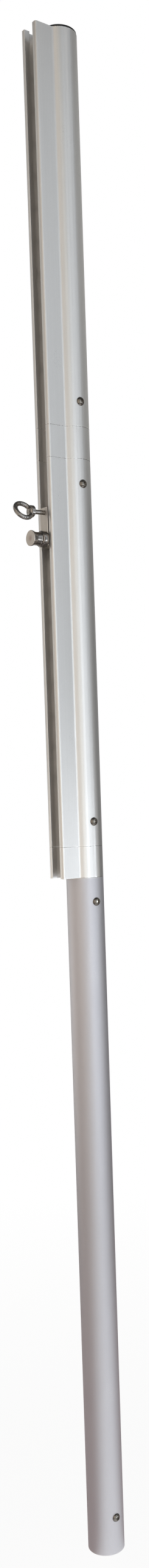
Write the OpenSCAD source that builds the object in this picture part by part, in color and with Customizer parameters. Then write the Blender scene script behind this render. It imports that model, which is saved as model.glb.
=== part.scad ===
// Shade sail mast: a sectional aluminium pole with a slotted track along its front. A slider with an
// eye bolt and a pull plunger runs in the track and sets the height of the sail's corner.
// Millimetres, Z up. The mast stands on the origin, the track's mouth faces -Y.

/* [Round tube] */
// Outside diameter of the tube
tube_d = 60; // [56:0.5:72]
// Thickness of the tube's wall
tube_wall = 3; // [2:0.25:4]
// Length of the plain lower tube
lower_len = 1110; // [600:10:1600]

/* [Track profile] */
// Length of each long track section
track_len = 610; // [400:10:1000]
// Length of each short spacer section
spacer_len = 50; // [30:1:100]
// Gap that shows as a seam between two sections
seam_gap = 0.3; // [0.1:0.05:1]
// Distance from the tube's surface to the plane of the track's mouth
track_depth = 25.6; // [24:0.2:36]
// Width over the outside of the track
track_w = 38.5; // [36:0.5:48]
// Thickness of the track's side walls and front webs
track_wall = 3; // [2:0.25:4]
// Width of the slot between the two lips
slot_w = 21.6; // [18:0.2:24]
// Depth of the lips behind the mouth
lip_depth = 10; // [6:0.5:12]
// Thickness of the lips
lip_wall = 3; // [2:0.25:4]
// Radius of the track's two outer corners
corner_r = 3.5; // [1:0.25:4]
// Radius of the small edges along the lips
lip_r = 0.8; // [0.4:0.1:1]
// Radius of the fillet where the track's sides meet the tube
fillet_r = 6; // [3:0.5:9]

/* [Latch holes] */
// Diameter of the latch holes in the track's floor
latch_d = 8.6; // [8.4:0.1:10]
// Spacing of the latch holes
latch_pitch = 50; // [40:1:80]

/* [Joint sleeves and ends] */
// Radial clearance between the tube's bore and what slides into it
bore_clearance = 0.2; // [0.1:0.05:0.5]
// Thickness of the joint sleeves' wall
sleeve_wall = 4; // [3:0.25:6]
// How far a joint sleeve reaches past each seam
sleeve_reach = 80; // [60:1:120]
// Height of the foot plug
foot_h = 80; // [70:1:120]
// Thickness of the foot plug's bottom
foot_floor = 12; // [6:1:20]
// Thickness of the foot plug's wall
foot_wall = 7; // [5:0.5:10]
// Thickness of the top cap's rim
cap_h = 4; // [2:0.5:8]
// Depth of the top cap's skirt inside the tube
cap_skirt = 16; // [10:1:30]
// Thickness of the top cap's skirt
cap_wall = 2.5; // [2:0.25:4]
// How far the cap's rim stays inside the tube's outside
cap_inset = 0.5; // [0:0.1:1]

/* [Joint screws] */
// Thread diameter of the joint screws
screw_d = 8; // [6:0.5:10]
// Diameter of the domed screw heads
head_d = 14; // [12:0.5:16]
// Height of the domed screw heads
head_h = 5.2; // [4:0.2:7]
// Width across the flats of the hexagon sockets
socket_af = 5; // [4:0.5:6]
// Depth of the hexagon sockets
socket_depth = 3; // [2:0.5:4]
// Length of the screws under the head
screw_len = 12; // [8:1:20]
// Distance from a seam to the screws beside it
screw_offset = 39; // [25:1:55]
// Height of the lowest screws above the foot
foot_screw_z = 60.5; // [40:0.5:66]

/* [Slider] */
// Height of the slider's lower edge above the foot
slider_z = 1634; // [1400:1:1640]
// Length of the slider's plate and shoe
plate_len = 60; // [58:1:90]
// Gap between the plate and each lip
plate_gap = 1.5; // [0.5:0.1:2]
// How far the plate stands out of the mouth
plate_proud = 1; // [0:0.2:3]
// Gap between the shoe and the track around it
shoe_gap = 0.5; // [0.3:0.1:0.8]
// Thickness of the shoe behind the lips
shoe_t = 5.5; // [4:0.5:7]

/* [Eye bolt] */
// Height of the eye bolt above the slider's lower edge
eye_rise = 52; // [46:0.5:52]
// Diameter of the eye bolt's shank
eye_shank_d = 7; // [6:0.5:8]
// Distance from the plate's face to the seat of the collar
eye_standoff = 20.5; // [10:0.5:25]
// Diameter of the collar
eye_collar_d = 18.5; // [16:0.5:24]
// Thickness of the collar
eye_collar_t = 6.5; // [4:0.5:8]
// Distance from the collar's seat to the middle of the ring's stock at its root
eye_root = 3.8; // [3.6:0.1:6]
// Inside diameter of the ring
eye_hole_d = 20.8; // [18:0.2:24]
// Diameter of the ring's round stock
eye_stock_d = 7.2; // [6:0.2:9]
// Diameter of the neck where the ring grows out of the collar
eye_neck_d = 15; // [10:0.5:16]
// Height of that neck
eye_neck_t = 2.5; // [1:0.5:3]
// Turn of the ring away from upright
eye_turn = 31; // [0:1:90]
// Width across the flats of the nut behind the shoe
nut_af = 13; // [11:1:14]
// Thickness of the nut
nut_t = 5; // [4:0.5:6]

/* [Plunger] */
// Height of the plunger above the slider's lower edge
plunger_rise = 10.5; // [10:0.5:14]
// Diameter of the plunger's base collar
base_d = 25.5; // [22:0.5:28]
// Thickness of the base collar
base_t = 9.5; // [6:0.5:12]
// Chamfer round the base collar's front edge
base_chamfer = 1.6; // [0.5:0.1:2.5]
// Width of the plate that is left on each side of the plunger's barrel
barrel_land = 1.8; // [1:0.1:3]
// Diameter of the latch pin
pin_d = 8; // [6:0.5:8]
// Gap between the pin's tip and the track's floor
pin_lift = 0.5; // [0.3:0.1:1]
// Gap between the knob and the base collar
knob_gap = 0.4; // [0.3:0.1:0.8]
// Length of the knob
knob_len = 17.4; // [12:0.2:24]
// Diameter of the knob's end disc
knob_d = 24.5; // [20:0.5:28]
// Diameter of the knob's waist
waist_d = 20.5; // [16:0.5:21]
// Distance from the knob's back to its waist
waist_rise = 4; // [2:0.5:6]
// Diameter of the knob's foot beside the base collar
knob_foot_d = 21.5; // [20:0.5:23]
// Thickness of the knob's end disc at its edge
knob_rim_t = 1.4; // [1:0.1:3]
// Depth of the pin's seat inside the knob
pin_seat = 10; // [6:0.5:11]
// Radial running clearance of the pin and of the eye bolt's shank
run_clearance = 0.05; // [0.02:0.01:0.1]

/* [Hidden] */
$fn = 96;

eps = 0.01;
bore_d = tube_d - 2 * tube_wall;
insert_d = bore_d - 2 * bore_clearance;

// Heights of the seams, from the foot up
lower_spacer_z = lower_len;
middle_track_z = lower_spacer_z + spacer_len;
upper_spacer_z = middle_track_z + track_len;
upper_track_z = upper_spacer_z + spacer_len;
mast_h = upper_track_z + track_len;

// Heights of the screws
lower_tube_screw_z = lower_spacer_z - screw_offset;
middle_low_screw_z = middle_track_z + screw_offset;
middle_high_screw_z = upper_spacer_z - screw_offset;
upper_screw_z = upper_track_z + screw_offset;

// Track cavity and what runs in it
track_reach = tube_d / 2 + track_depth;
cavity_half_w = track_w / 2 - track_wall;
lip_back_y = -(track_reach - lip_depth);
plate_front_y = -(track_reach + plate_proud);
plate_w = slot_w - 2 * plate_gap;
barrel_d = plate_w - 2 * barrel_land;
shoe_front_y = lip_back_y + shoe_gap;
shoe_back_y = shoe_front_y + shoe_t;
eye_z = slider_z + eye_rise;
plunger_z = slider_z + plunger_rise;
pin_tip_y = -(tube_d / 2 + pin_lift);
ring_r = (eye_hole_d + eye_stock_d) / 2;
eye_seat_y = plate_front_y - eye_standoff;
eye_ring_y = eye_seat_y - eye_root - ring_r;
base_front_y = plate_front_y - base_t;
knob_back_y = base_front_y - knob_gap;
nut_gap = 0.2;
thread_past_nut = 1;

// Colours
anodised = [0.76, 0.76, 0.77];
stainless = [0.62, 0.60, 0.57];
black_plastic = [0.05, 0.05, 0.05];

// Latch holes stand halfway between two steps of the slider's rest height, clear of the joint sleeves
function latch_heights(low, high) =
    [for (k = [-60:60]) let (z = plunger_z + (k + 0.5) * latch_pitch) if (z > low && z < high) z];

// ---------- sections of the profile ----------

module rounded_rect(w, h, r) {
    translate([r, 0]) square([w - 2 * r, h]);
    translate([0, r]) square([w, h - 2 * r]);
    for (x = [r, w - r], y = [r, h - r])
        translate([x, y]) circle(r = r);
}

// Outer block of the track: square towards the tube, rounded at the two outer corners
module track_block() {
    translate([-track_w / 2, -track_reach]) rounded_rect(track_w, track_reach, corner_r);
}

module track_void() {
    translate([-cavity_half_w, -track_reach + track_wall])
        square([2 * cavity_half_w, track_reach]);
    translate([-slot_w / 2 - lip_r, -track_reach - 1])
        square([slot_w + 2 * lip_r, track_wall + 2]);
}

// The two lips run back from the mouth along both sides of the slot
module track_lips() {
    for (side = [0, 1])
        mirror([side, 0])
            translate([slot_w / 2, -track_reach]) rounded_rect(lip_wall, lip_depth, lip_r);
}

// Concave fillet between the track's flat side and the round tube
module side_fillets() {
    tube_r = tube_d / 2;
    cx = track_w / 2 + fillet_r;
    cy = -sqrt(pow(tube_r + fillet_r, 2) - cx * cx);
    touch = [cx, cy] * tube_r / (tube_r + fillet_r);
    inner = [track_w / 2 - eps, touch[1]];
    for (side = [0, 1])
        mirror([side, 0])
            difference() {
                polygon([[track_w / 2 - eps, cy], [cx, cy], touch, inner]);
                translate([cx, cy]) circle(r = fillet_r);
            }
}

module track_section() {
    difference() {
        union() {
            circle(d = tube_d);
            difference() {
                track_block();
                track_void();
            }
            track_lips();
            side_fillets();
        }
        circle(d = bore_d);
    }
}

// ---------- shared shapes ----------

// Radial hole pair through the tube's left and right walls at height z
module cross_hole(z, d) {
    translate([-tube_d / 2 - 1, 0, z])
        rotate([0, 90, 0]) cylinder(d = d, h = tube_d + 2);
}

module latch_hole(z) {
    translate([0, -tube_d / 2 - 1, z])
        rotate([-90, 0, 0]) cylinder(d = latch_d, h = tube_wall + 2);
}

// One length of the track profile, from its lower seam up
module track_piece(z, length, screw_heights, latch_low, latch_high) {
    color(anodised)
        difference() {
            translate([0, 0, z]) linear_extrude(length - seam_gap) track_section();
            for (h = screw_heights)
                cross_hole(h, screw_d + 2 * bore_clearance);
            for (h = latch_heights(latch_low, latch_high))
                latch_hole(h);
        }
}

// Tube inside the joint between two long sections, through the spacer between them
module joint_sleeve(low_seam, high_seam, low_screw, high_screw) {
    low = low_seam - sleeve_reach;
    length = high_seam - low_seam + 2 * sleeve_reach;
    color(anodised)
        difference() {
            translate([0, 0, low]) cylinder(d = insert_d, h = length);
            translate([0, 0, low - 1]) cylinder(d = insert_d - 2 * sleeve_wall, h = length + 2);
            cross_hole(low_screw, screw_d + 2 * run_clearance);
            cross_hole(high_screw, screw_d + 2 * run_clearance);
        }
}

// Domed socket screw with its axis along +X, its seat at x = 0
module dome_screw() {
    dome_r = (pow(head_d / 2, 2) + head_h * head_h) / (2 * head_h);
    color(stainless)
        difference() {
            rotate([0, 90, 0]) union() {
                translate([0, 0, -screw_len]) cylinder(d = screw_d, h = screw_len + eps);
                intersection() {
                    cylinder(d = head_d, h = head_h);
                    translate([0, 0, head_h - dome_r]) sphere(r = dome_r);
                }
            }
            translate([head_h - socket_depth, 0, 0])
                rotate([0, 90, 0]) cylinder(d = socket_af / cos(30), h = socket_depth + 1, $fn = 6);
        }
}

// side is 1 on the right (+X) and -1 on the left
module joint_screw(z, side) {
    translate([side * tube_d / 2, 0, z])
        rotate([0, 0, side > 0 ? 0 : 180]) dome_screw();
}

// ---------- the mast ----------

module foot_plug() {
    color(anodised)
        difference() {
            cylinder(d = insert_d, h = foot_h);
            translate([0, 0, foot_floor])
                cylinder(d = insert_d - 2 * foot_wall, h = foot_h);
            cross_hole(foot_screw_z, screw_d + 2 * run_clearance);
        }
}

module lower_tube() {
    color(anodised)
        difference() {
            cylinder(d = tube_d, h = lower_len - seam_gap);
            translate([0, 0, -1]) cylinder(d = bore_d, h = lower_len + 2);
            cross_hole(foot_screw_z, screw_d + 2 * bore_clearance);
            cross_hole(lower_tube_screw_z, screw_d + 2 * bore_clearance);
        }
}

module lower_sleeve() {
    joint_sleeve(lower_spacer_z, middle_track_z, lower_tube_screw_z, middle_low_screw_z);
}

module lower_spacer() {
    track_piece(lower_spacer_z, spacer_len, [], 0, 0);
}

module middle_track() {
    track_piece(middle_track_z, track_len, [middle_low_screw_z, middle_high_screw_z],
        middle_track_z + sleeve_reach + latch_d, upper_spacer_z - sleeve_reach - latch_d);
}

module upper_sleeve() {
    joint_sleeve(upper_spacer_z, upper_track_z, middle_high_screw_z, upper_screw_z);
}

module upper_spacer() {
    track_piece(upper_spacer_z, spacer_len, [], 0, 0);
}

module upper_track() {
    track_piece(upper_track_z, track_len, [upper_screw_z],
        upper_track_z + sleeve_reach + latch_d, mast_h - cap_skirt - latch_d);
}

// Cap on the tube's upper end: a rim with a rounded edge and a skirt down the bore
module top_cap() {
    rim_r = tube_d / 2 - cap_inset;
    edge_r = cap_h / 2;
    skirt_r = insert_d / 2;
    color(black_plastic)
        translate([0, 0, mast_h - seam_gap])
            rotate_extrude() {
                square([rim_r - edge_r, cap_h]);
                square([rim_r, cap_h - edge_r]);
                translate([rim_r - edge_r, cap_h - edge_r])
                    intersection() {
                        circle(r = edge_r);
                        square(edge_r);
                    }
                translate([skirt_r - cap_wall, -cap_skirt]) square([cap_wall, cap_skirt + eps]);
            }
}

// ---------- the slider ----------

module plate_bores(front, depth) {
    translate([0, front, eye_z])
        rotate([-90, 0, 0]) cylinder(d = eye_shank_d + 2 * run_clearance, h = depth);
    translate([0, front, plunger_z])
        rotate([-90, 0, 0]) cylinder(d = barrel_d + 2 * run_clearance, h = depth);
}

module slider_plate() {
    plate_t = shoe_front_y - plate_front_y;
    color(stainless)
        difference() {
            translate([-plate_w / 2, plate_front_y, slider_z]) cube([plate_w, plate_t, plate_len]);
            plate_bores(plate_front_y - 1, plate_t + 2);
        }
}

module slider_shoe() {
    shoe_w = 2 * (cavity_half_w - shoe_gap);
    color(stainless)
        difference() {
            translate([-shoe_w / 2, shoe_front_y, slider_z]) cube([shoe_w, shoe_t, plate_len]);
            plate_bores(shoe_front_y - 1, shoe_t + 2);
        }
}

// Ring, collar and shank forged in one, turned about the shank's axis
module eye_bolt() {
    collar_y = eye_seat_y - eye_collar_t;
    shank_end_y = shoe_back_y + nut_gap + nut_t + thread_past_nut;
    color(stainless)
        translate([0, 0, eye_z]) {
            translate([0, eye_ring_y, 0])
                rotate([0, 90 - eye_turn, 0])
                    rotate_extrude() translate([ring_r, 0]) circle(d = eye_stock_d);
            translate([0, collar_y - eye_neck_t, 0])
                rotate([-90, 0, 0]) cylinder(d1 = eye_stock_d, d2 = eye_neck_d, h = eye_neck_t);
            translate([0, collar_y, 0])
                rotate([-90, 0, 0]) cylinder(d = eye_collar_d, h = eye_collar_t);
            translate([0, eye_seat_y, 0])
                rotate([-90, 0, 0]) cylinder(d = eye_shank_d, h = shank_end_y - eye_seat_y);
        }
}

module eye_nut() {
    color(stainless)
        translate([0, shoe_back_y + nut_gap, eye_z])
            rotate([-90, 0, 0])
                difference() {
                    cylinder(d = nut_af / cos(30), h = nut_t, $fn = 6);
                    translate([0, 0, -1]) cylinder(d = eye_shank_d + 2 * run_clearance, h = nut_t + 2);
                }
}

// ---------- the plunger ----------

// Base collar on the plate's face, with its barrel through the plate and the shoe
module plunger_body() {
    color(stainless)
        translate([0, base_front_y, plunger_z])
            rotate([-90, 0, 0])
                difference() {
                    union() {
                        cylinder(d1 = base_d - 2 * base_chamfer, d2 = base_d, h = base_chamfer);
                        translate([0, 0, base_chamfer]) cylinder(d = base_d, h = base_t - base_chamfer);
                        translate([0, 0, base_t - eps]) cylinder(d = barrel_d, h = shoe_back_y - plate_front_y);
                    }
                    translate([0, 0, -1])
                        cylinder(d = pin_d + 2 * run_clearance, h = shoe_back_y - base_front_y + 2);
                }
}

// Pull knob: a foot beside the base collar, a waist and a flared end disc
module plunger_knob() {
    foot_land = 0.6;
    edge = 0.4;
    color(stainless)
        translate([0, knob_back_y, plunger_z])
            rotate([90, 0, 0])
                difference() {
                    rotate_extrude()
                        polygon([
                            [0, 0], [knob_foot_d / 2, 0], [knob_foot_d / 2, foot_land],
                            [waist_d / 2, waist_rise], [knob_d / 2, knob_len - knob_rim_t],
                            [knob_d / 2, knob_len - edge], [knob_d / 2 - edge, knob_len], [0, knob_len]
                        ]);
                    translate([0, 0, -1]) cylinder(d = pin_d + 2 * run_clearance, h = pin_seat + 1);
                }
}

// Latch pin from its seat in the knob to just short of the track's floor
module plunger_pin() {
    tip = 1.2;
    back = knob_back_y - pin_seat;
    straight = pin_tip_y - back - tip;
    color(stainless)
        translate([0, back, plunger_z])
            rotate([-90, 0, 0]) {
                cylinder(d = pin_d, h = straight);
                translate([0, 0, straight]) cylinder(d1 = pin_d, d2 = pin_d - 2 * tip, h = tip);
            }
}

foot_plug();
lower_tube();
lower_sleeve();
lower_spacer();
middle_track();
upper_sleeve();
upper_spacer();
upper_track();
top_cap();
joint_screw(foot_screw_z, 1);  // foot_screw_right
joint_screw(foot_screw_z, -1);  // foot_screw_left
joint_screw(lower_tube_screw_z, 1);  // lower_tube_screw_right
joint_screw(lower_tube_screw_z, -1);  // lower_tube_screw_left
joint_screw(middle_low_screw_z, 1);  // middle_track_low_screw_right
joint_screw(middle_low_screw_z, -1);  // middle_track_low_screw_left
joint_screw(middle_high_screw_z, 1);  // middle_track_high_screw_right
joint_screw(middle_high_screw_z, -1);  // middle_track_high_screw_left
joint_screw(upper_screw_z, 1);  // upper_track_screw_right
joint_screw(upper_screw_z, -1);  // upper_track_screw_left
slider_plate();
slider_shoe();
eye_bolt();
eye_nut();
plunger_body();
plunger_knob();
plunger_pin();
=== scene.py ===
"""Looks of the shade sail mast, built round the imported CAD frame.

Shapes are drawn in millimetres and scaled to metres once, when a piece is made of them. A round or
flat shape is drawn about its own Z axis and then placed, so that its material runs along that axis.
"""

import math

import bmesh
import bpy
from mathutils import Matrix, Vector
from mathutils.geometry import tessellate_polygon


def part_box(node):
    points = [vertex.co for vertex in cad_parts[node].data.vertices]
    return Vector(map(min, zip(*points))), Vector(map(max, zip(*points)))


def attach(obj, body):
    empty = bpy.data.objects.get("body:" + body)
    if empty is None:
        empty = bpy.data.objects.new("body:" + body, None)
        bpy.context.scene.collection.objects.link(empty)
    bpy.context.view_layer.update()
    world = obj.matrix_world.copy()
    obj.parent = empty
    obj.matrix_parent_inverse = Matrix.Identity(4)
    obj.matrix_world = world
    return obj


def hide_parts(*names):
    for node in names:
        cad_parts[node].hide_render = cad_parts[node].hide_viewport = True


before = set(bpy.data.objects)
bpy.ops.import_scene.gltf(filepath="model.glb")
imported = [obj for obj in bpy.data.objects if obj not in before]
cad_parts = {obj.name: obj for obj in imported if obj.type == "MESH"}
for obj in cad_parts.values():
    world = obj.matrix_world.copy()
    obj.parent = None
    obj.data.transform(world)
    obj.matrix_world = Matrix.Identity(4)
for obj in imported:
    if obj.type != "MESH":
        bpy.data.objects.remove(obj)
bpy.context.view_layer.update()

MM = 0.001

# ---------------------------------------------------------------- sizes that no box gives, in mm
# A name ends in _D for a diameter, _R for a radius, _W for a width, _H for a height, _T for a
# thickness and _AF for the distance across a hexagon's flats. Angles are in radians.

# Tubes and track
TUBE_WALL = 3
TRACK_W = 38.5
TRACK_WALL = 3
TRACK_CORNER = 3.5
SIDE_FILLET = 6
SLOT_W = 21.6
LIP_DEPTH = 10
LIP_WALL = 3
LIP_EDGE = 0.8
UPPER_CHAMFER = 0.12
LOWER_CHAMFER = 0.2
LATCH_D = 8.6
LATCH_PITCH = 50
SCREW_HOLE_D = 8.4

# Joint sleeves, foot plug and cap
SLEEVE_WALL = 4
SLEEVE_CHAMFER = 0.8
PLUG_WALL = 7
PLUG_FLOOR = 12
PLUG_DIMPLE_R = 9
PLUG_DIMPLE_DEPTH = 1
CAP_RIM = 4
CAP_BORDER = 5.5
CAP_DISH_SLOPE = 1.5
CAP_DISH_DEPTH = 0.25
CAP_SKIRT_WALL = 2.5

# Joint screws
SCREW_D = 8
SCREW_TIP = 0.6
HEAD_H = 5.2
HEAD_EDGE = 0.5
HEAD_UNDERCUT = 0.35
SOCKET_AF = 5
SOCKET_DEPTH = 3
SOCKET_RIM = 0.5
SOCKET_RIM_H = 0.12

# Slider
PLATE_CORNER = 0.5
PLATE_CHAMFER = 0.35
SHOE_CORNER = 1.2
SHOE_CHAMFER = 0.6
PLATE_WEAR = 0.5
NUT_CROWN = 0.9
NUT_CROWN_PAST = 0.3

# Eye bolt
SHANK_D = 7
SMOOTH_SHANK = 22
SHANK_SUNK = 2
THREAD_PITCH = 1
THREAD_DEPTH = 0.45
THREAD_FLANK = 0.35
THREAD_END = 0.6
RING_STOCK = 7.2
RING_R = 14
RING_TURN = math.radians(31)
RING_ROOT = 3.8
ROOT_SWELL = 1.1
ROOT_SWELL_REACH = math.radians(24)
COLLAR_D = 18.5
COLLAR_T = 6.5
NECK_D = 15
NECK_H = 2.6
NECK_STEP = 1.6
NECK_STEP_H = 1.2

# The forging's skin: size of a voxel, and rounds of smoothing
FORGED_VOXEL = 0.3
FORGED_SOFTENING = 4

# Plunger. A point of the knob's dished face is a radius, a depth below the rim and a rounding.
BASE_T = 9.5
BASE_CHAMFER = 1.6
BARREL_D = 15
PIN_D = 8
PIN_TIP = 1.2
PIN_SEAT = 10
KNOB_FOOT_D = 21.5
KNOB_FOOT_H = 0.9
KNOB_FOOT_SLOPE = 0.8
KNOB_WAIST_D = 20.5
KNOB_NECK = 9.5
KNOB_RIM_H = 1.6
KNOB_BORDER = 1.6
KNOB_DISH = ((3.4, 0.25, 3), (2.6, 0.5, 1), (0, 0.6, 0))

# All parts: slack of a bore on its diameter, how far a cutter reaches past what it cuts, how far the
# wear at an end edge runs in, the turn that makes an edge sharp, and the radius that counts as none
RUNNING_FIT = 0.1
FINE_CHAMFER = 0.1
CUT_PAST = 2
WEAR_FADE = 1.5
SHARP = math.radians(28)
ON_AXIS = 1e-6


def box_mm(node):
    """Lowest and highest corner of a CAD node, in millimetres."""
    low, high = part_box(node)
    return low / MM, high / MM


def mid_height(node):
    """Height of a CAD node's middle, in millimetres."""
    low, high = box_mm(node)
    return (low.z + high.z) / 2


# ---------------------------------------------------------------- camera
# The camera stands a little over two metres off, between the track's mouth and the right side, at
# eye height. It looks down by a few degrees and leans by two.
VIEW_AZIMUTH = 54
VIEW_DISTANCE = 2.0725
EYE_HEIGHT = 1.264
CAMERA_PITCH = -2.647
CAMERA_ROLL = -1.861
LENS = 29.53
SENSOR_WIDTH = 36
SHIFT_X = -0.0058
SHIFT_Y = 0.0360
CLIP_START = 0.02


def azimuth_direction(azimuth):
    """Level direction from the mast's axis: 0 is where the track's mouth faces, 90 the right side."""
    angle = math.radians(azimuth)
    return Vector((math.sin(angle), -math.cos(angle), 0))


def facing_mast(azimuth, distance, height):
    """Place of a camera or lamp that looks level at the mast's axis."""
    away = azimuth_direction(azimuth)
    level = (-away).to_track_quat("-Z", "Y").to_matrix().to_4x4()
    return Matrix.Translation(away * distance + Vector((0, 0, height))) @ level


def add_camera():
    """The camera that the picture is taken with."""
    data = bpy.data.cameras.new("camera")
    data.lens = LENS
    data.sensor_width = SENSOR_WIDTH
    data.shift_x = SHIFT_X
    data.shift_y = SHIFT_Y
    data.clip_start = CLIP_START
    camera = bpy.data.objects.new("camera", data)
    bpy.context.scene.collection.objects.link(camera)
    pitch = Matrix.Rotation(math.radians(CAMERA_PITCH), 4, "X")
    roll = Matrix.Rotation(math.radians(CAMERA_ROLL), 4, "Z")
    camera.matrix_world = facing_mast(VIEW_AZIMUTH, VIEW_DISTANCE, EYE_HEIGHT) @ pitch @ roll
    bpy.context.scene.camera = camera


# ---------------------------------------------------------------- node graphs
class Graph:
    """A node tree, with short ways to add what the materials here are made of."""

    def __init__(self, tree):
        self.tree = tree
        self.coords = None

    def add(self, kind, **settings):
        """A node of a kind, with some of its properties set."""
        node = self.tree.nodes.new("ShaderNode" + kind)
        for name, value in settings.items():
            setattr(node, name, value)
        return node

    def feed(self, socket, value):
        """Links an output to the socket, or sets the socket if value is plain."""
        if isinstance(value, bpy.types.NodeSocket):
            self.tree.links.new(value, socket)
        else:
            socket.default_value = value

    def feed_all(self, node, values):
        """Feeds a node's first inputs in their order."""
        for socket, value in zip(node.inputs, values):
            self.feed(socket, value)

    def math(self, operation, first, second=0.0, third=0.0, clamp=False):
        """A Math node on up to three values. An operation ignores those that it doesn't take."""
        node = self.add("Math", operation=operation, use_clamp=clamp)
        self.feed_all(node, (first, second, third))
        return node.outputs[0]

    def remap(self, value, from_low, from_high, low, high, smooth=False):
        """A value taken from one range to another, and held at that range's ends."""
        node = self.add("MapRange")
        if smooth:
            node.interpolation_type = "SMOOTHSTEP"
        self.feed_all(node, (value, from_low, from_high, low, high))
        return node.outputs[0]

    def spread(self, noise, low, high):
        """Noise, which lies mostly between 0.3 and 0.7, taken to another range."""
        return self.remap(noise, 0.3, 0.7, low, high)

    def mix(self, share, first, second):
        """A colour between two. Sockets 6, 7 and 2 are the ones that a Mix node has for colours."""
        node = self.add("Mix", data_type="RGBA")
        self.feed(node.inputs[0], share)
        self.feed(node.inputs[6], first)
        self.feed(node.inputs[7], second)
        return node.outputs[2]

    def mix_shaders(self, share, first, second):
        """A shader between two."""
        node = self.add("MixShader")
        self.feed_all(node, (share, first, second))
        return node.outputs[0]

    def light(self, kind, colour, strength=1):
        """An Emission or Background of a colour and strength."""
        node = self.add(kind)
        self.feed(node.inputs["Color"], colour)
        self.feed(node.inputs["Strength"], strength)
        return node.outputs[0]

    def local(self, scale):
        """The piece's own coordinates in metres, times a scale for each axis."""
        if self.coords is None:
            self.coords = self.add("TexCoord").outputs["Object"]
        node = self.add("Mapping")
        self.feed(node.inputs["Vector"], self.coords)
        node.inputs["Scale"].default_value = scale
        return node.outputs[0]

    def noise(self, scale, detail=2.0, rough=0.5, distortion=0.0):
        """Noise from 0 to 1 with scale cells to the metre along each axis."""
        node = self.add("TexNoise")
        self.feed(node.inputs["Vector"], self.local(scale))
        node.inputs["Scale"].default_value = 1
        node.inputs["Detail"].default_value = detail
        node.inputs["Roughness"].default_value = rough
        node.inputs["Distortion"].default_value = distortion
        return node.outputs[0]

    def bump(self, height, depth, normal=None):
        """A normal bent by a height that is depth metres tall."""
        node = self.add("Bump")
        node.inputs["Strength"].default_value = 1
        node.inputs["Distance"].default_value = depth
        self.feed(node.inputs["Height"], height)
        if normal is not None:
            self.feed(node.inputs["Normal"], normal)
        return node.outputs[0]

    def wear(self):
        """The wear that extrude leaves on a shape: 1 at its worn edges."""
        return self.add("Attribute", attribute_name="wear").outputs["Fac"]

    def axis_distance(self):
        """Distance from the piece's own Z axis, in metres."""
        node = self.add("VectorMath", operation="LENGTH")
        self.feed(node.inputs[0], self.local((1, 1, 0)))
        return node.outputs["Value"]


def new_material(name, metallic):
    """A material with an empty Principled shader: the material, its graph and its shader."""
    material = bpy.data.materials.new(name)
    material.use_nodes = True
    shader = material.node_tree.nodes["Principled BSDF"]
    shader.inputs["Metallic"].default_value = metallic
    return material, Graph(material.node_tree), shader


# ---------------------------------------------------------------- studio
WHITE = (1, 1, 1, 1)

# The camera sees white all round the mast. Metal sees this share of it, and a dim room.
METAL_SEES_WHITE = 0.1
ROOM_LIGHT = 0.05

# The floor, in metres. The camera sees a trace of its shade by the foot, and white further out.
FLOOR_HALF = 6
FLOOR_COLOUR = (0.62, 0.61, 0.60, 1)
FOOT_WHITE = 0.95
SHADE_NEAR, SHADE_FAR = 0.4, 1.8

# The floor as metal sees it is a painted glow, not the lit floor: a painted pool of light on the lamps' side
# of the foot, dark further out
FAR_FLOOR_GLOW = (0.11, 0.09, 0.08, 1)
NEAR_FLOOR_GLOW = (0.35, 0.27, 0.26, 1)
PAINTED_LIGHT_POOL = (1.0, 1.0, 1.0, 1)
LIGHT_POOL_AZIMUTH = 88
LIGHT_POOL_COSINE = 0.95
NEAR, FAR = 0.7, 1.8

WARM = (1.0, 0.86, 0.72)
SUNNY = (1.0, 0.92, 0.83)
NEUTRAL = (1.0, 0.99, 0.94)
COOL = (0.90, 0.95, 1.0)
AMBER = (1.0, 0.84, 0.66)

# Upright softboxes: azimuth, radiance of the low, middle and high part, colour. Most radiances are
# what a least squares fit to the photo's tones along the mast gave, and nine were changed.
SOFTBOXES = (
    (-94, (0.75, 0.54, 0.43), NEUTRAL),
    (-72, (1.34, 0.75, 0.64), NEUTRAL),
    (-50, (1.45, 0.74, 0.66), SUNNY),
    (-28, (1.02, 0.75, 0.59), WARM),
    (-6, (0.86, 0.70, 0.59), WARM),
    (16, (1.39, 1.23, 1.07), WARM),
    (38, (1.29, 1.07, 0.80), SUNNY),
    (60, (1.93, 1.23, 0.96), NEUTRAL),
    (82, (3.10, 1.77, 1.07), COOL),
    (104, (2.42, 1.20, 1.00), COOL),
    (126, (1.15, 0.60, 0.85), COOL),
    (150, (0.64, 0.21, 0.37), NEUTRAL),
    (174, (0.00, 0.11, 0.43), NEUTRAL),
    (200, (0.16, 0.27, 0.54), NEUTRAL),
)
SOFTBOX_PARTS = ((0.1, 1.1), (1.1, 2.3), (2.3, 3.8))
SOFTBOX_DISTANCE = 2.3
SOFTBOX_WIDTH = 0.56

# The window: a small bright lamp in front of the softboxes, which polished steel shows as a spot
WINDOW_AZIMUTH = 126
WINDOW_DISTANCE = 2.25
WINDOW_HEIGHT = 0.95
WINDOW_SIZE = (0.14, 0.34)
WINDOW_RADIANCE = 8

# Small lamps under the ceiling: azimuth and distance from the mast
CEILING_LAMPS = ((44, 5.7), (111, 3.9))
CEILING_HEIGHT = 6
CEILING_LAMP_SIZE = 0.3
CEILING_RADIANCE = 14
LIT_HEIGHT = 1.7


def towards(graph, direction, azimuth):
    """Cosine of the angle between a direction and an azimuth."""
    node = graph.add("VectorMath", operation="DOT_PRODUCT")
    graph.feed(node.inputs[0], direction)
    node.inputs[1].default_value = azimuth_direction(azimuth)
    return node.outputs["Value"]


def white_share(graph, seen_by_camera):
    """How much of the white background a ray meets: that share for camera and transmission rays, and
    the metal's share for glossy rays."""
    path = graph.add("LightPath")
    clear = graph.math("MAXIMUM", path.outputs["Is Camera Ray"], path.outputs["Is Transmission Ray"])
    shine = graph.math("MULTIPLY", path.outputs["Is Glossy Ray"], METAL_SEES_WHITE)
    return graph.math("MAXIMUM", graph.math("MULTIPLY", clear, seen_by_camera), shine)


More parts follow.
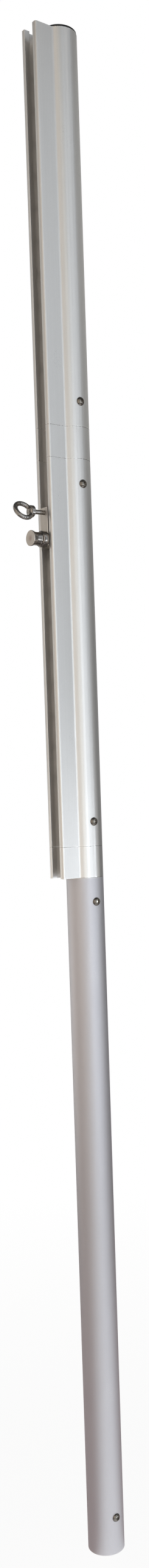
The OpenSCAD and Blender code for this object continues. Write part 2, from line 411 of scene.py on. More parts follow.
def add_world():
    """White background round a dim room, which the softboxes stand in."""
    world = bpy.data.worlds.new("studio")
    bpy.context.scene.world = world
    world.use_nodes = True
    world.node_tree.nodes.clear()
    graph = Graph(world.node_tree)
    room = graph.light("Background", WHITE, ROOM_LIGHT)
    white = graph.light("Background", WHITE)
    seen = graph.mix_shaders(white_share(graph, 1), room, white)
    graph.feed(graph.add("OutputWorld").inputs["Surface"], seen)


def painted_floor_glow(graph):
    """The floor as metal sees it: a painted glow, with a painted pool of light on the lamps' side of the
    foot and darker further out.
    """
    outward = graph.add("VectorMath", operation="NORMALIZE")
    graph.feed(outward.inputs[0], graph.local((1, 1, 0)))
    side = towards(graph, outward.outputs[0], LIGHT_POOL_AZIMUTH)
    # Painted pool of light, brightest towards the lamps' side of the foot
    brightness = graph.remap(side, 0.0, LIGHT_POOL_COSINE, 0, 1, smooth=True)
    farness = graph.remap(graph.axis_distance(), NEAR, FAR, 0, 1, smooth=True)
    near = graph.mix(brightness, NEAR_FLOOR_GLOW, PAINTED_LIGHT_POOL)
    return graph.light("Emission", graph.mix(farness, near, FAR_FLOOR_GLOW))


def floor_material():
    """Pale floor that the camera sees as white, with a trace of the mast's shadow by the foot. Metal sees a
    painted glow on it instead of the lit floor.
    """
    material = bpy.data.materials.new("pale_floor")
    material.use_nodes = True
    material.node_tree.nodes.clear()
    graph = Graph(material.node_tree)
    lit = graph.add("BsdfDiffuse")
    lit.inputs["Color"].default_value = FLOOR_COLOUR
    glossy_ray = graph.add("LightPath").outputs["Is Glossy Ray"]
    # Glossy rays meet the painted glow, the other rays the lit floor
    lit_or_painted = graph.mix_shaders(glossy_ray, lit.outputs[0], painted_floor_glow(graph))
    white = graph.light("Emission", WHITE)
    whiteness = graph.remap(graph.axis_distance(), SHADE_NEAR, SHADE_FAR, FOOT_WHITE, 1)
    seen = graph.mix_shaders(white_share(graph, whiteness), lit_or_painted, white)
    graph.feed(graph.add("OutputMaterial").inputs["Surface"], seen)
    return material


def add_floor():
    """The floor that the mast stands on."""
    mesh = bpy.data.meshes.new("floor")
    corners = [(-FLOOR_HALF, -FLOOR_HALF, 0), (FLOOR_HALF, -FLOOR_HALF, 0),
               (FLOOR_HALF, FLOOR_HALF, 0), (-FLOOR_HALF, FLOOR_HALF, 0)]
    mesh.from_pydata(corners, [], [(0, 1, 2, 3)])
    mesh.materials.append(floor_material())
    floor = bpy.data.objects.new("floor", mesh)
    bpy.context.scene.collection.objects.link(floor)


def add_softbox(name, azimuth, distance, height, width, tall, radiance, colour):
    """An upright area lamp that faces the mast. Its power follows from its radiance, where 1 is white."""
    data = bpy.data.lights.new(name, "AREA")
    data.shape = "RECTANGLE"
    data.size = width
    data.size_y = tall
    data.energy = radiance * math.pi * width * tall
    data.color = colour
    lamp = bpy.data.objects.new(name, data)
    lamp.visible_camera = False
    bpy.context.scene.collection.objects.link(lamp)
    lamp.matrix_world = facing_mast(azimuth, distance, height)
    return lamp


def add_lamps():
    """Softboxes round the mast, strongest right of the camera, amber lamps up high and the window."""
    for index, (azimuth, radiances, colour) in enumerate(SOFTBOXES):
        for (foot, head), radiance in zip(SOFTBOX_PARTS, radiances):
            add_softbox(f"softbox_{index}", azimuth, SOFTBOX_DISTANCE, (foot + head) / 2,
                        SOFTBOX_WIDTH, head - foot, radiance, colour)
    for index, (azimuth, distance) in enumerate(CEILING_LAMPS):
        lamp = add_softbox(f"ceiling_{index}", azimuth, distance, CEILING_HEIGHT,
                           CEILING_LAMP_SIZE, CEILING_LAMP_SIZE, CEILING_RADIANCE, AMBER)
        place = lamp.matrix_world.translation.copy()
        aim = (Vector((0, 0, LIT_HEIGHT)) - place).to_track_quat("-Z", "Y")
        lamp.matrix_world = Matrix.Translation(place) @ aim.to_matrix().to_4x4()
    add_softbox("window", WINDOW_AZIMUTH, WINDOW_DISTANCE, WINDOW_HEIGHT, *WINDOW_SIZE,
                WINDOW_RADIANCE, COOL)


# ---------------------------------------------------------------- outlines
def rounded(corners, closed=False, steps=5):
    """Points of an outline. A corner is (x, y), or (x, y, radius) where it is rounded off."""
    points = []
    last = len(corners) - 1
    for index, corner in enumerate(corners):
        here = Vector(corner[:2])
        radius = corner[2] if len(corner) > 2 else 0
        if radius == 0 or (not closed and index in (0, last)):
            points.append(here)
            continue
        back = (Vector(corners[index - 1][:2]) - here).normalized()
        ahead = (Vector(corners[(index + 1) % len(corners)][:2]) - here).normalized()
        half = back.angle(ahead) / 2
        centre = here + (back + ahead).normalized() * radius / math.sin(half)
        start = here + back * radius / math.tan(half) - centre
        end = here + ahead * radius / math.tan(half) - centre
        first = math.atan2(start.y, start.x)
        sweep = math.remainder(math.atan2(end.y, end.x) - first, 2 * math.pi)
        points += arc(centre, radius, first, first + sweep, steps)
    return points


def arc(centre, radius, start, end, steps):
    """Points on an arc from one angle to another."""
    angles = [start + (end - start) * step / steps for step in range(steps + 1)]
    return [Vector((centre[0] + radius * math.cos(angle), centre[1] + radius * math.sin(angle)))
            for angle in angles]


def circle(radius, steps=96, centre=(0, 0)):
    """Points of a circle. Six steps give a hexagon with a corner on its X axis."""
    return arc(centre, radius, 0, 2 * math.pi, steps)[:-1]


def hole(radius, steps=96, centre=(0, 0)):
    """A circle drawn the other way round, so that the solid is outside it."""
    return circle(radius, steps, centre)[::-1]


def inset(points, amount):
    """A closed outline moved towards its left side, mitred at its corners."""
    moved = []
    for index, here in enumerate(points):
        back = here - points[index - 1]
        ahead = points[(index + 1) % len(points)] - here
        first = Vector((-back.y, back.x)).normalized()
        second = Vector((-ahead.y, ahead.x)).normalized()
        middle = (first + second).normalized()
        moved.append(here + middle * amount / middle.dot(first))
    return moved


def track_outline(tube_r, mouth):
    """Outline of tube and track in one, from the middle of the track's floor round the right side
    and back. The track's mouth is a given distance in front of the tube's axis."""
    side = TRACK_W / 2
    cavity = side - TRACK_WALL
    floor_end = math.acos(cavity / tube_r)
    fillet = Vector((side + SIDE_FILLET, 0))
    fillet.y = -math.sqrt((tube_r + SIDE_FILLET) ** 2 - fillet.x ** 2)
    touch = math.atan2(fillet.y, fillet.x)
    front = TRACK_WALL - mouth
    lip_in, lip_out = SLOT_W / 2, SLOT_W / 2 + LIP_WALL
    lip_back = LIP_DEPTH - mouth
    half = arc((0, 0), tube_r, -math.pi / 2, -floor_end, steps=14)
    half += rounded([
        half.pop(), (cavity, front), (lip_out, front), (lip_out, lip_back, LIP_EDGE),
        (lip_in, lip_back, LIP_EDGE), (lip_in, -mouth, LIP_EDGE),
        (side, -mouth, TRACK_CORNER), (side, fillet.y),
    ])
    half += arc(fillet, SIDE_FILLET, math.pi, touch + math.pi, steps=6)[1:]
    half += arc((0, 0), tube_r, touch, math.pi / 2, steps=48)[1:]
    return half + [Vector((-point.x, point.y)) for point in reversed(half[1:-1])]


# ---------------------------------------------------------------- solids
def join(shape, rings, closed):
    """Faces between neighbouring rings of the same number of points. A ring may be one point, repeated."""
    pairs = list(zip(rings, rings[1:]))
    if closed:
        pairs.append((rings[-1], rings[0]))
    for first, second in pairs:
        for here in range(len(first)):
            following = (here + 1) % len(first)
            corners = dict.fromkeys((first[here], first[following], second[following], second[here]))
            if len(corners) > 2:
                shape.faces.new(corners)


def extrude(outlines, low, high, chamfer, fade=WEAR_FADE, low_chamfer=None, face_fade=None):
    """Closed solid between two heights from outlines that have the solid on their left, with
    chamfered ends. The layer "wear" is 1 at the end edges and falls to 0 within the fade, and on
    the end faces within face_fade, where that is given."""
    shape = bmesh.new()
    wear = shape.verts.layers.float.new("wear")
    first = low_chamfer or chamfer
    levels = [(low, first, 1), (low + first, 0, 1), (low + first + fade, 0, 0),
              (high - chamfer - fade, 0, 0), (high - chamfer, 0, 1), (high, chamfer, 1)]
    if face_fade:
        levels = [(low, first + face_fade, 0)] + levels + [(high, chamfer + face_fade, 0)]
    ends = ([], [])
    for outline in outlines:
        rings = []
        for height, amount, worn in levels:
            rings.append([shape.verts.new((*point, height)) for point in inset(outline, amount)])
            for vert in rings[-1]:
                vert[wear] = worn
        join(shape, rings, closed=False)
        ends[0].append(rings[0])
        ends[1].append(rings[-1])
    for rings in ends:
        verts = [vert for ring in rings for vert in ring]
        for triangle in tessellate_polygon([[vert.co for vert in ring] for ring in rings]):
            shape.faces.new([verts[index] for index in triangle])
    bmesh.ops.recalc_face_normals(shape, faces=shape.faces)
    return shape


def lathe(profile, segments=72, closed=False):
    """Solid of revolution about Z from points (radius, height). A closed profile makes a ring."""
    shape = bmesh.new()
    rings = []
    for radius, height in profile:
        if radius < ON_AXIS:
            rings.append([shape.verts.new((0, 0, height))] * segments)
        else:
            rings.append([shape.verts.new((*point, height)) for point in circle(radius, segments)])
    join(shape, rings, closed)
    bmesh.ops.recalc_face_normals(shape, faces=shape.faces)
    return shape


def torus(radius, stock, turns, sides):
    """A ring about X, whose stock is a function of the angle from +Z, because it may swell at its root."""
    shape = bmesh.new()
    rings = []
    for turn in range(turns):
        angle = 2 * math.pi * turn / turns
        out = Vector((0, math.sin(angle), math.cos(angle)))
        thick = stock(angle)
        rings.append([shape.verts.new(out * (radius + thick * point.x) + Vector((thick * point.y, 0, 0)))
                      for point in circle(1, sides)])
    join(shape, rings, closed=True)
    bmesh.ops.recalc_face_normals(shape, faces=shape.faces)
    return shape


def scratch_object(shape):
    """The shape as an object for modifiers to work on. The shape is used up."""
    mesh = bpy.data.meshes.new("scratch")
    shape.to_mesh(mesh)
    shape.free()
    made = bpy.data.objects.new("scratch", mesh)
    bpy.context.scene.collection.objects.link(made)
    return made


def evaluated(made):
    """The object's mesh after its modifiers, as a shape. The object is removed."""
    result = bmesh.new()
    mesh = bpy.data.meshes.new_from_object(made.evaluated_get(bpy.context.evaluated_depsgraph_get()))
    result.from_mesh(mesh)
    bpy.data.meshes.remove(mesh)
    bpy.data.meshes.remove(made.data)
    return result


def boolean(shape, tool, operation="DIFFERENCE"):
    """The shape without the tool, or another operation on the two. Both are used up."""
    base, other = scratch_object(shape), scratch_object(tool)
    step = base.modifiers.new("boolean", "BOOLEAN")
    step.solver = "EXACT"
    step.operation = operation
    step.object = other
    result = evaluated(base)
    bpy.data.meshes.remove(other.data)
    return result


def merged(shapes):
    """Several shapes in one, without joining their surfaces."""
    whole = bmesh.new()
    mesh = bpy.data.meshes.new("scratch")
    for shape in shapes:
        shape.to_mesh(mesh)
        shape.free()
        whole.from_mesh(mesh)
    bpy.data.meshes.remove(mesh)
    return whole


def blended(shape, voxel, rounds):
    """Touching shells made one skin, with soft inner corners."""
    made = scratch_object(shape)
    remesh = made.modifiers.new("remesh", "REMESH")
    remesh.mode = "VOXEL"
    remesh.voxel_size = voxel
    smooth = made.modifiers.new("smooth", "SMOOTH")
    smooth.factor = 0.5
    smooth.iterations = rounds
    return evaluated(made)


def placed(shape, place):
    """The same shape, moved to a place."""
    shape.transform(place)
    return shape


def cylinder(radius, low, high, place):
    """A cylinder between two heights on its own axis, then placed."""
    return placed(lathe([(0, low), (radius, low), (radius, high), (0, high)], segments=48), place)


def make_mesh(name, shape, material):
    """The shape as a mesh in metres."""
    shape.transform(Matrix.Scale(MM, 4))
    mesh = bpy.data.meshes.new(name)
    shape.to_mesh(mesh)
    shape.free()
    mesh.shade_smooth()
    mesh.set_sharp_from_angle(angle=SHARP)
    mesh.materials.append(material)
    return mesh


def add_piece(name, mesh, body, nodes, place=Matrix.Identity(4)):
    """A piece that rides on a body and stands for CAD nodes. Its place is in millimetres."""
    piece = bpy.data.objects.new(name, mesh)
    bpy.context.scene.collection.objects.link(piece)
    turn = place.to_3x3().to_4x4()
    piece.matrix_world = Matrix.Translation(place.translation * MM) @ turn
    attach(piece, body)
    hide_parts(*nodes)
    return piece


# Own Z points out of the track's mouth, own Y points up
OUTWARD = Matrix.Rotation(math.radians(90), 4, "X")
RIGHTWARD = Matrix.Rotation(math.radians(90), 4, "Y")
LEFTWARD = Matrix.Rotation(math.radians(-90), 4, "Y")


def at_height(height, turn):
    """Place on the mast's axis at a height, turned."""
    return Matrix.Translation((0, 0, height)) @ turn


# ---------------------------------------------------------------- materials
# Noise scales are cells to the metre along each axis, so a scale with one low value gives lines.
WORN_ALUMINIUM = (0.88, 0.87, 0.86, 1)
RUBBED_STEEL = (0.82, 0.80, 0.77, 1)
BLAST_GRAIN = (1300, 1300, 1300)
MATTE_FACE = (0.66, 0.63, 0.585, 1)
MATTE_CENTRE = (0.44, 0.35, 0.315, 1)
MATTE_DEPTH = 1.0 * MM
MATTE_EDGE = 0.2 * MM
MATTE_CENTRE_FROM, MATTE_CENTRE_TO = 0.5 * MM, 7.5 * MM
TURNING_PITCH = 0.6 * MM
TURNING_DEPTH = 0.0008 * MM
PLASTIC_IOR = 1.49


def shade(colour, factor):
    """A colour made lighter or darker by a factor, as a node takes it."""
    return tuple(min(1, channel * factor) for channel in colour) + (1,)


def anodised(name, colour, roughness, cloud, streak):
    """Satin anodised extrusion: fine etched grain, die lines along the length and bright worn end edges."""
    material, graph, shader = new_material(name, 1)
    grain = graph.noise((850, 850, 850), detail=3, rough=0.6)
    lines = graph.noise((620, 620, 2.5), detail=3, rough=0.6)
    clouds = graph.noise((14, 14, 5), detail=3, distortion=0.6)
    scuffs = graph.noise((130, 130, 900), detail=1, distortion=2)
    scuff_places = graph.noise((22, 22, 9), detail=1)

    thin = graph.math("COMPARE", scuffs, 0.5, 0.006)
    scratch = graph.math("MULTIPLY", thin, graph.remap(scuff_places, 0.6, 0.68, 0, 0.6))
    tone = graph.math("MULTIPLY_ADD", grain, 0.62, 0.19)
    tone = graph.math("ADD", tone, graph.spread(clouds, -cloud, cloud))
    tone = graph.math("ADD", tone, graph.spread(lines, -streak, streak), clamp=True)
    skin = graph.mix(tone, shade(colour, 0.9), shade(colour, 1.1))
    bare = graph.math("MAXIMUM", graph.math("MULTIPLY", graph.wear(), 0.7), scratch)
    graph.feed(shader.inputs["Base Color"], graph.mix(bare, skin, WORN_ALUMINIUM))

    finish = graph.math("ADD", graph.spread(grain, roughness - 0.04, roughness + 0.04),
                        graph.spread(lines, -0.02, 0.02))
    smoother = graph.math("MULTIPLY", bare, 0.14)
    graph.feed(shader.inputs["Roughness"], graph.math("SUBTRACT", finish, smoother))
    coarse = graph.bump(lines, 0.03 * MM)
    graph.feed(shader.inputs["Normal"], graph.bump(grain, 0.02 * MM, coarse))
    return material


def machined(name, colour, roughness):
    """Turned or sawn metal that stays inside: rings across the length."""
    material, graph, shader = new_material(name, 1)
    rings = graph.noise((4, 4, 1800), detail=2)
    grain = graph.noise((900, 900, 900), detail=2)
    skin = graph.mix(graph.spread(rings, 0, 1), shade(colour, 0.88), shade(colour, 1.12))
    graph.feed(shader.inputs["Base Color"], skin)
    graph.feed(shader.inputs["Roughness"], graph.spread(grain, roughness - 0.06, roughness + 0.06))
    graph.feed(shader.inputs["Normal"], graph.bump(rings, 0.03 * MM))
    return material


def brushed_stainless(name, colour, roughness):
    """Blasted and lightly brushed stainless plate: dense grain, lines along the mast, rubbed patches."""
    material, graph, shader = new_material(name, 1)
    grain = graph.noise(BLAST_GRAIN, detail=3, rough=0.65)
    brush = graph.noise((1500, 30, 1500), detail=2)
    patches = graph.noise((60, 25, 60), detail=2)
    tone = graph.math("ADD", graph.spread(grain, 0, 0.7), graph.spread(brush, 0, 0.3))
    skin = graph.mix(tone, shade(colour, 0.86), shade(colour, 1.14))
    worn = graph.wear()
    rubbed = graph.mix(graph.math("MULTIPLY", worn, 0.55), skin, RUBBED_STEEL)
    graph.feed(shader.inputs["Base Color"], rubbed)

    finish = graph.math("ADD", graph.remap(patches, 0.35, 0.7, roughness + 0.05, roughness - 0.05),
                        graph.spread(grain, -0.04, 0.04))
    smoother = graph.math("MULTIPLY", worn, 0.2)
    graph.feed(shader.inputs["Roughness"], graph.math("SUBTRACT", finish, smoother))
    graph.feed(shader.inputs["Normal"], graph.bump(grain, 0.03 * MM, graph.bump(brush, 0.015 * MM)))
    return material


def blasted_face(graph, above, skin, finish):
    """Colour and roughness that turn matt above a height on the piece's own axis, where the middle
    of the face is darker."""
    height = graph.add("SeparateXYZ")
    graph.feed(height.inputs[0], graph.local((1, 1, 1)))
    matte = graph.remap(height.outputs["Z"], above, above + MATTE_EDGE, 0, 1)
    grain = graph.noise(BLAST_GRAIN, detail=3, rough=0.65)
    centre = graph.remap(graph.axis_distance(), MATTE_CENTRE_FROM, MATTE_CENTRE_TO, 0.75, 0, smooth=True)
    face = graph.mix(centre, MATTE_FACE, MATTE_CENTRE)
    face = graph.mix(graph.spread(grain, 0, 0.25), face, MATTE_CENTRE)
    return graph.mix(matte, skin, face), graph.mix(matte, finish, graph.spread(grain, 0.40, 0.48))


def polished_stainless(name, colour, roughness, turning=0.0, matte_above=None):
    """Polished stainless steel with hairlines and faint waviness. A turned piece has turning marks
    of some depth, and a piece may be blasted matt above a height."""
    material, graph, shader = new_material(name, 1)
    haze = graph.noise((260, 260, 260), detail=3, rough=0.6)
    hairs = graph.noise((90, 90, 2400), detail=1, distortion=0.4)
    skin = graph.mix(graph.spread(haze, 0, 1), shade(colour, 0.9), shade(colour, 1.06))
    finish = graph.spread(haze, roughness - 0.025, roughness + 0.035)
    finish = graph.math("ADD", finish, graph.remap(hairs, 0.55, 0.75, 0, 0.06))
    if matte_above is not None:
        skin, finish = blasted_face(graph, matte_above, skin, finish)
    graph.feed(shader.inputs["Base Color"], skin)
    graph.feed(shader.inputs["Roughness"], finish)

    normal = graph.bump(haze, 0.004 * MM)
    if turning:
        phase = graph.math("MULTIPLY", graph.axis_distance(), 2 * math.pi / TURNING_PITCH)
        normal = graph.bump(graph.math("SINE", phase), turning, normal)
    graph.feed(shader.inputs["Normal"], graph.bump(hairs, 0.0012 * MM, normal))
    return material


def moulded_plastic(name, colour):
    """Black moulded plastic: fine spark texture and faint rubbed spots."""
    material, graph, shader = new_material(name, 0)
    spark = graph.noise((1100, 1100, 1100), detail=3, rough=0.7)
    rubbed = graph.noise((45, 45, 45), detail=3)
    skin = graph.mix(graph.remap(rubbed, 0.5, 0.75, 0, 0.6), shade(colour, 1), shade(colour, 2.2))
    graph.feed(shader.inputs["Base Color"], skin)
    graph.feed(shader.inputs["Roughness"], graph.remap(rubbed, 0.35, 0.7, 0.56, 0.4))
    shader.inputs["IOR"].default_value = PLASTIC_IOR
    graph.feed(shader.inputs["Normal"], graph.bump(spark, 0.06 * MM))
    return material


track_finish = anodised("track_anodised", (0.765, 0.757, 0.745), 0.36, cloud=0.05, streak=0.10)
tube_finish = anodised("tube_anodised", (0.66, 0.655, 0.69), 0.54, cloud=0.10, streak=0.05)
inner_finish = machined("inner_machined", (0.70, 0.70, 0.71), 0.38)
plate_finish = brushed_stainless("slider_brushed", (0.56, 0.53, 0.49), 0.40)
forged_finish = polished_stainless("eye_polished", (0.31, 0.295, 0.28), 0.15)
turned_finish = polished_stainless("turned_polished", (0.29, 0.275, 0.26), 0.14, TURNING_DEPTH)
knob_finish = polished_stainless("knob_polished", (0.29, 0.275, 0.26), 0.14, TURNING_DEPTH,
                                 matte_above=-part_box("plunger_knob")[0].y - MATTE_DEPTH)
screw_finish = polished_stainless("screw_polished", (0.23, 0.215, 0.195), 0.06)
cap_finish = moulded_plastic("cap_plastic", (0.012, 0.012, 0.013))


# ---------------------------------------------------------------- the mast
# Each joint has a screw on either side. Its holes go through both walls, at the right screw's height.
JOINTS = ("foot_screw", "lower_tube_screw", "middle_track_low_screw", "middle_track_high_screw",
          "upper_track_screw")
SECTION_SCREWS = {
    "lower_tube": ("foot_screw_right", "lower_tube_screw_right"),
    "lower_spacer": (),
    "middle_track": ("middle_track_low_screw_right", "middle_track_high_screw_right"),
    "upper_spacer": (),
    "upper_track": ("upper_track_screw_right",),
}
SLEEVE_SCREWS = {
    "lower_sleeve": ("lower_tube_screw_right", "middle_track_low_screw_right"),
    "upper_sleeve": ("middle_track_high_screw_right", "upper_track_screw_right"),
}


def screw_holes(screws, radius):
    """Cutters for some screws' holes through both walls of a tube."""
    reach = radius + CUT_PAST
    return [cylinder(SCREW_HOLE_D / 2, -reach, reach, at_height(mid_height(screw), RIGHTWARD))
            for screw in screws]


def latch_holes(low, high, tube_r):
    """Cutters for the latch holes in the track's floor. At rest the plunger is halfway between two."""
    rest = mid_height("plunger_knob")
    first = math.ceil((low - rest) / LATCH_PITCH - 0.5)
    last = math.floor((high - rest) / LATCH_PITCH - 0.5)
    back, front = tube_r - TUBE_WALL - CUT_PAST, tube_r + CUT_PAST
    return [cylinder(LATCH_D / 2, back, front, at_height(rest + (step + 0.5) * LATCH_PITCH, OUTWARD))
            for step in range(first, last + 1)]


def add_sections():
    """The plain lower tube, the two spacers and the two long track sections."""
    tube_r = box_mm("lower_tube")[1].x
    track_low = box_mm("middle_track")[0]
    sleeve_reach = box_mm("lower_sleeve")[1].z - track_low.z
    track = track_outline(tube_r, -track_low.y)
    bore = hole(tube_r - TUBE_WALL)
    latches_end = {"middle_track": box_mm("upper_sleeve")[0].z, "upper_track": box_mm("top_cap")[0].z}

    for node, screws in SECTION_SCREWS.items():
        low, high = box_mm(node)
        plain = node == "lower_tube"
        outline = circle(tube_r) if plain else track
        shape = extrude([outline, bore], low.z, high.z, UPPER_CHAMFER, low_chamfer=LOWER_CHAMFER)
        tools = screw_holes(screws, tube_r)
        if node in latches_end:
            first = low.z + sleeve_reach + LATCH_D
            tools += latch_holes(first, latches_end[node] - LATCH_D, tube_r)
        if tools:
            shape = boolean(shape, merged(tools))
        mesh = make_mesh(node, shape, tube_finish if plain else track_finish)
        add_piece(node + "_extrusion", mesh, "mast", [node])


def add_inner_parts():
    """Sleeves and foot plug, with the holes that their screws go through."""
    for node, screws in SLEEVE_SCREWS.items():
        low, high = box_mm(node)
        shape = extrude([circle(high.x), hole(high.x - SLEEVE_WALL)], low.z, high.z, SLEEVE_CHAMFER)
        shape = boolean(shape, merged(screw_holes(screws, high.x)))
        add_piece(node + "_tube", make_mesh(node, shape, inner_finish), "mast", [node])

    low, high = box_mm("foot_plug")
    outside, inside = high.x, high.x - PLUG_WALL
    dimple = low.z + PLUG_DIMPLE_DEPTH
    floor = low.z + PLUG_FLOOR
    profile = rounded([
        (0, dimple), (PLUG_DIMPLE_R - PLUG_DIMPLE_DEPTH, dimple), (PLUG_DIMPLE_R, low.z),
        (outside, low.z, 1), (outside, high.z, 0.8), (inside, high.z, 0.8), (inside, floor, 3), (0, floor),
    ])
    shape = boolean(lathe(profile, segments=96), merged(screw_holes(["foot_screw_right"], outside)))
    mesh = make_mesh("foot_plug", shape, inner_finish)
    add_piece("foot_plug_turned", mesh, "mast", ["foot_plug"])


def add_cap():
    """Black cap with a dished top, a rim over the tube's end and a skirt inside it."""
    low, high = box_mm("top_cap")
    rim = high.z - CAP_RIM
    dish = high.z - CAP_DISH_DEPTH
    border = high.x - CAP_BORDER
    skirt = box_mm("lower_sleeve")[1].x
    inside = skirt - CAP_SKIRT_WALL
    profile = rounded([
        (0, dish), (border - CAP_DISH_SLOPE, dish), (border, high.z, 0.5), (high.x, high.z, 2),
        (high.x, rim, 0.4), (skirt, rim, 0.3), (skirt, low.z, 0.8), (inside, low.z, 0.4),
        (inside, rim, 0.8), (0, rim),
    ])
    mesh = make_mesh("top_cap", lathe(profile, segments=96), cap_finish)
    add_piece("top_cap_moulding", mesh, "mast", ["top_cap"])


def screw_mesh():
    """Domed socket screw about Z, its head's seat at 0."""
    low, high = box_mm("foot_screw_right")
    head_r = (high.z - low.z) / 2
    end = -(high.x - low.x - HEAD_H)
    dome_r = (head_r ** 2 + HEAD_H ** 2) / (2 * HEAD_H)
    start = math.asin((dome_r - HEAD_H + HEAD_EDGE) / dome_r)
    dome = arc((0, HEAD_H - dome_r), dome_r, start, math.pi / 2, steps=18)
    profile = [(0, end), (SCREW_D / 2 - SCREW_TIP, end), (SCREW_D / 2, end + SCREW_TIP), (SCREW_D / 2, 0),
               (head_r - HEAD_UNDERCUT, 0), (dome[0].x, HEAD_EDGE / 2)]
    profile += [tuple(point) for point in dome[:-1]]
    profile.append((0, HEAD_H))

    corner_r = SOCKET_AF / math.sqrt(3)
    top = HEAD_H + CUT_PAST
    socket = extrude([circle(corner_r, steps=6)], HEAD_H - SOCKET_DEPTH, top, FINE_CHAMFER, FINE_CHAMFER)
    rim_r = corner_r + SOCKET_RIM
    countersink = lathe([(0, HEAD_H - corner_r), (rim_r, HEAD_H + SOCKET_RIM_H), (rim_r + 1, top), (0, top)])
    shape = boolean(boolean(lathe(profile, segments=64), socket), countersink)
    return make_mesh("joint_screw", shape, screw_finish)


def add_screws():
    """A pair of screws at each joint, one from each side."""
    mesh = screw_mesh()
    for joint in JOINTS:
        for side, turn in (("right", RIGHTWARD), ("left", LEFTWARD)):
            node = joint + "_" + side
            low, high = box_mm(node)
            seat = high.x - HEAD_H if side == "right" else low.x + HEAD_H
            place = Matrix.Translation((seat, 0, mid_height(node))) @ turn
            add_piece(node + "_domed", mesh, "mast", [node], place)


# ---------------------------------------------------------------- the slider
# What is drawn below has own Z out of the track's mouth, so that a node's front is its -low.y


def add_plates():
    """Front plate and shoe. Their own origin is at the plate's middle height."""
    middle = mid_height("slider_plate")
    bores = [hole((SHANK_D + RUNNING_FIT) / 2, steps=48, centre=(0, mid_height("eye_nut") - middle)),
             hole((BARREL_D + RUNNING_FIT) / 2, steps=64, centre=(0, mid_height("plunger_knob") - middle))]
    for node, corner, chamfer in (("slider_plate", PLATE_CORNER, PLATE_CHAMFER),
                                  ("slider_shoe", SHOE_CORNER, SHOE_CHAMFER)):
        low, high = box_mm(node)
        half_w, half_h = high.x, (high.z - low.z) / 2
        outline = rounded([(-half_w, -half_h, corner), (half_w, -half_h, corner),
                           (half_w, half_h, corner), (-half_w, half_h, corner)], closed=True)
        shape = extrude([outline] + bores, -high.y, -low.y, chamfer, PLATE_WEAR, face_fade=PLATE_WEAR)
        mesh = make_mesh(node, shape, plate_finish)
        add_piece(node + "_milled", mesh, "slider", [node], at_height(middle, OUTWARD))


def add_eye_nut():
    """The eye bolt's hexagon nut, with its corners crowned at both ends."""
    low, high = box_mm("eye_nut")
    front, back = -low.y, -high.y
    flat_r = min(high.x, high.z - mid_height("eye_nut"))
    corner_r = flat_r / math.cos(math.pi / 6)
    outlines = [circle(corner_r, steps=6), hole((SHANK_D + RUNNING_FIT) / 2, steps=48)]
    prism = extrude(outlines, back, front, FINE_CHAMFER, FINE_CHAMFER)
    outside = corner_r + NUT_CROWN_PAST
    under, over = back - 1, front + 1
    crown = lathe([
        (0, under), (flat_r - 1, under), (flat_r, back), (outside, back + NUT_CROWN),
        (outside, front - NUT_CROWN), (flat_r, front), (flat_r - 1, over), (0, over),
    ])
    mesh = make_mesh("eye_nut", boolean(prism, crown, "INTERSECT"), turned_finish)
    place = at_height(mid_height("eye_nut"), OUTWARD)
    add_piece("eye_nut_hexagon", mesh, "slider", ["eye_nut"], place)


def ring_stock_r(angle):
    """Half the thickness of the ring's stock, at an angle from the ring's front. It swells at the root."""
    from_root = math.pi - abs(math.remainder(angle, 2 * math.pi))
    return RING_STOCK / 2 + ROOT_SWELL * math.exp(-(from_root / ROOT_SWELL_REACH) ** 2)


def shank_profile(seat, end):
    """Half section of the eye bolt's shank, smooth below its seat and threaded down to its end."""
    crest, root = SHANK_D / 2, SHANK_D / 2 - THREAD_DEPTH
    thread_from = seat - SMOOTH_SHANK
    profile = [(0, seat + SHANK_SUNK), (crest, seat + SHANK_SUNK), (crest, thread_from)]
    for turn in range(int((thread_from - end - THREAD_END) / THREAD_PITCH)):
        top = thread_from - turn * THREAD_PITCH
        middle = top - THREAD_PITCH / 2
        profile += [(root, top - THREAD_FLANK), (root, middle), (crest, middle - THREAD_FLANK),
                    (crest, top - THREAD_PITCH)]
    return profile + [(root, end), (0, end)]


def add_eye_bolt():
    """Forged eye bolt: the ring swells into its neck and collar, and the shank is threaded at its end."""
    low, high = box_mm("eye_bolt")
    ring_centre = -low.y - RING_R - RING_STOCK / 2
    seat = ring_centre - RING_R - RING_ROOT
    collar_top = seat + COLLAR_T
    neck_top = collar_top + NECK_H
    turned = at_height(ring_centre, Matrix.Rotation(RING_TURN, 4, "Z"))
    ring = placed(torus(RING_R, ring_stock_r, turns=96, sides=40), turned)
    head = lathe(rounded([
        (0, seat), (COLLAR_D / 2, seat, 1.0), (COLLAR_D / 2, collar_top, 1.0), (NECK_D / 2, collar_top, 0.4),
        (NECK_D / 2 - NECK_STEP, collar_top + NECK_STEP_H, 1.2), (RING_STOCK / 2, neck_top), (0, neck_top),
    ]))
    forged = blended(merged([ring, head]), FORGED_VOXEL, FORGED_SOFTENING)
    shape = boolean(forged, lathe(shank_profile(seat, -high.y), segments=48), "UNION")
    mesh = make_mesh("eye_bolt", shape, forged_finish)
    place = at_height(mid_height("eye_nut"), OUTWARD)
    add_piece("eye_bolt_forged", mesh, "eye", ["eye_bolt"], place)


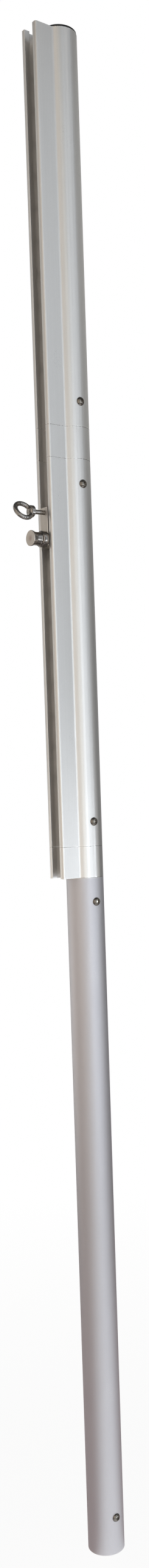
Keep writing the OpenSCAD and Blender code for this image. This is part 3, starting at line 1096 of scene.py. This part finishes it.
def add_plunger():
    """Pull plunger: a body with its base collar, a knob and the pin that the knob pulls."""
    place = at_height(mid_height("plunger_knob"), OUTWARD)
    bore = (PIN_D + RUNNING_FIT) / 2

    low, high = box_mm("plunger_body")
    front, back = -low.y, -high.y
    seat = front - BASE_T
    profile = rounded([
        (bore, front, 0.2), (high.x - BASE_CHAMFER, front, 0.25), (high.x, front - BASE_CHAMFER, 0.35),
        (high.x, seat, 0.3), (BARREL_D / 2, seat), (BARREL_D / 2, back, 0.5), (bore, back, 0.2),
    ], closed=True, steps=3)
    mesh = make_mesh("plunger_body", lathe(profile, segments=96, closed=True), turned_finish)
    add_piece("plunger_body_turned", mesh, "slider", ["plunger_body"], place)

    low, high = box_mm("plunger_knob")
    front, back, knob_r = -low.y, -high.y, high.x
    foot_r, waist_r = KNOB_FOOT_D / 2, KNOB_WAIST_D / 2
    foot_top = back + KNOB_FOOT_H
    profile = rounded([
        (0, back + PIN_SEAT), (bore, back + PIN_SEAT), (bore, back, 0.2), (foot_r, back, 0.3),
        (foot_r, foot_top, 0.3), (waist_r, foot_top + KNOB_FOOT_SLOPE, 0.6), (waist_r, back + KNOB_NECK, 10),
        (knob_r, front - KNOB_RIM_H, 1.2), (knob_r, front, 0.7), (knob_r - KNOB_BORDER, front, 1.0),
    ] + [(radius, front - depth, rounding) for radius, depth, rounding in KNOB_DISH], steps=6)
    mesh = make_mesh("plunger_knob", lathe(profile, segments=96), knob_finish)
    add_piece("plunger_knob_turned", mesh, "plunger", ["plunger_knob"], place)

    low, high = box_mm("plunger_pin")
    front, back, pin_r = -low.y, -high.y, PIN_D / 2
    profile = rounded([
        (0, back), (pin_r - PIN_TIP, back, 0.3), (pin_r, back + PIN_TIP, 0.4), (pin_r, front, 0.3),
        (0, front),
    ])
    mesh = make_mesh("plunger_pin", lathe(profile, segments=48), turned_finish)
    add_piece("plunger_pin_ground", mesh, "plunger", ["plunger_pin"], place)


add_camera()
add_world()
add_lamps()
add_floor()
bpy.context.scene.view_settings.view_transform = "Standard"

add_sections()
add_inner_parts()
add_cap()
add_screws()
add_plates()
add_eye_nut()
add_eye_bolt()
add_plunger()
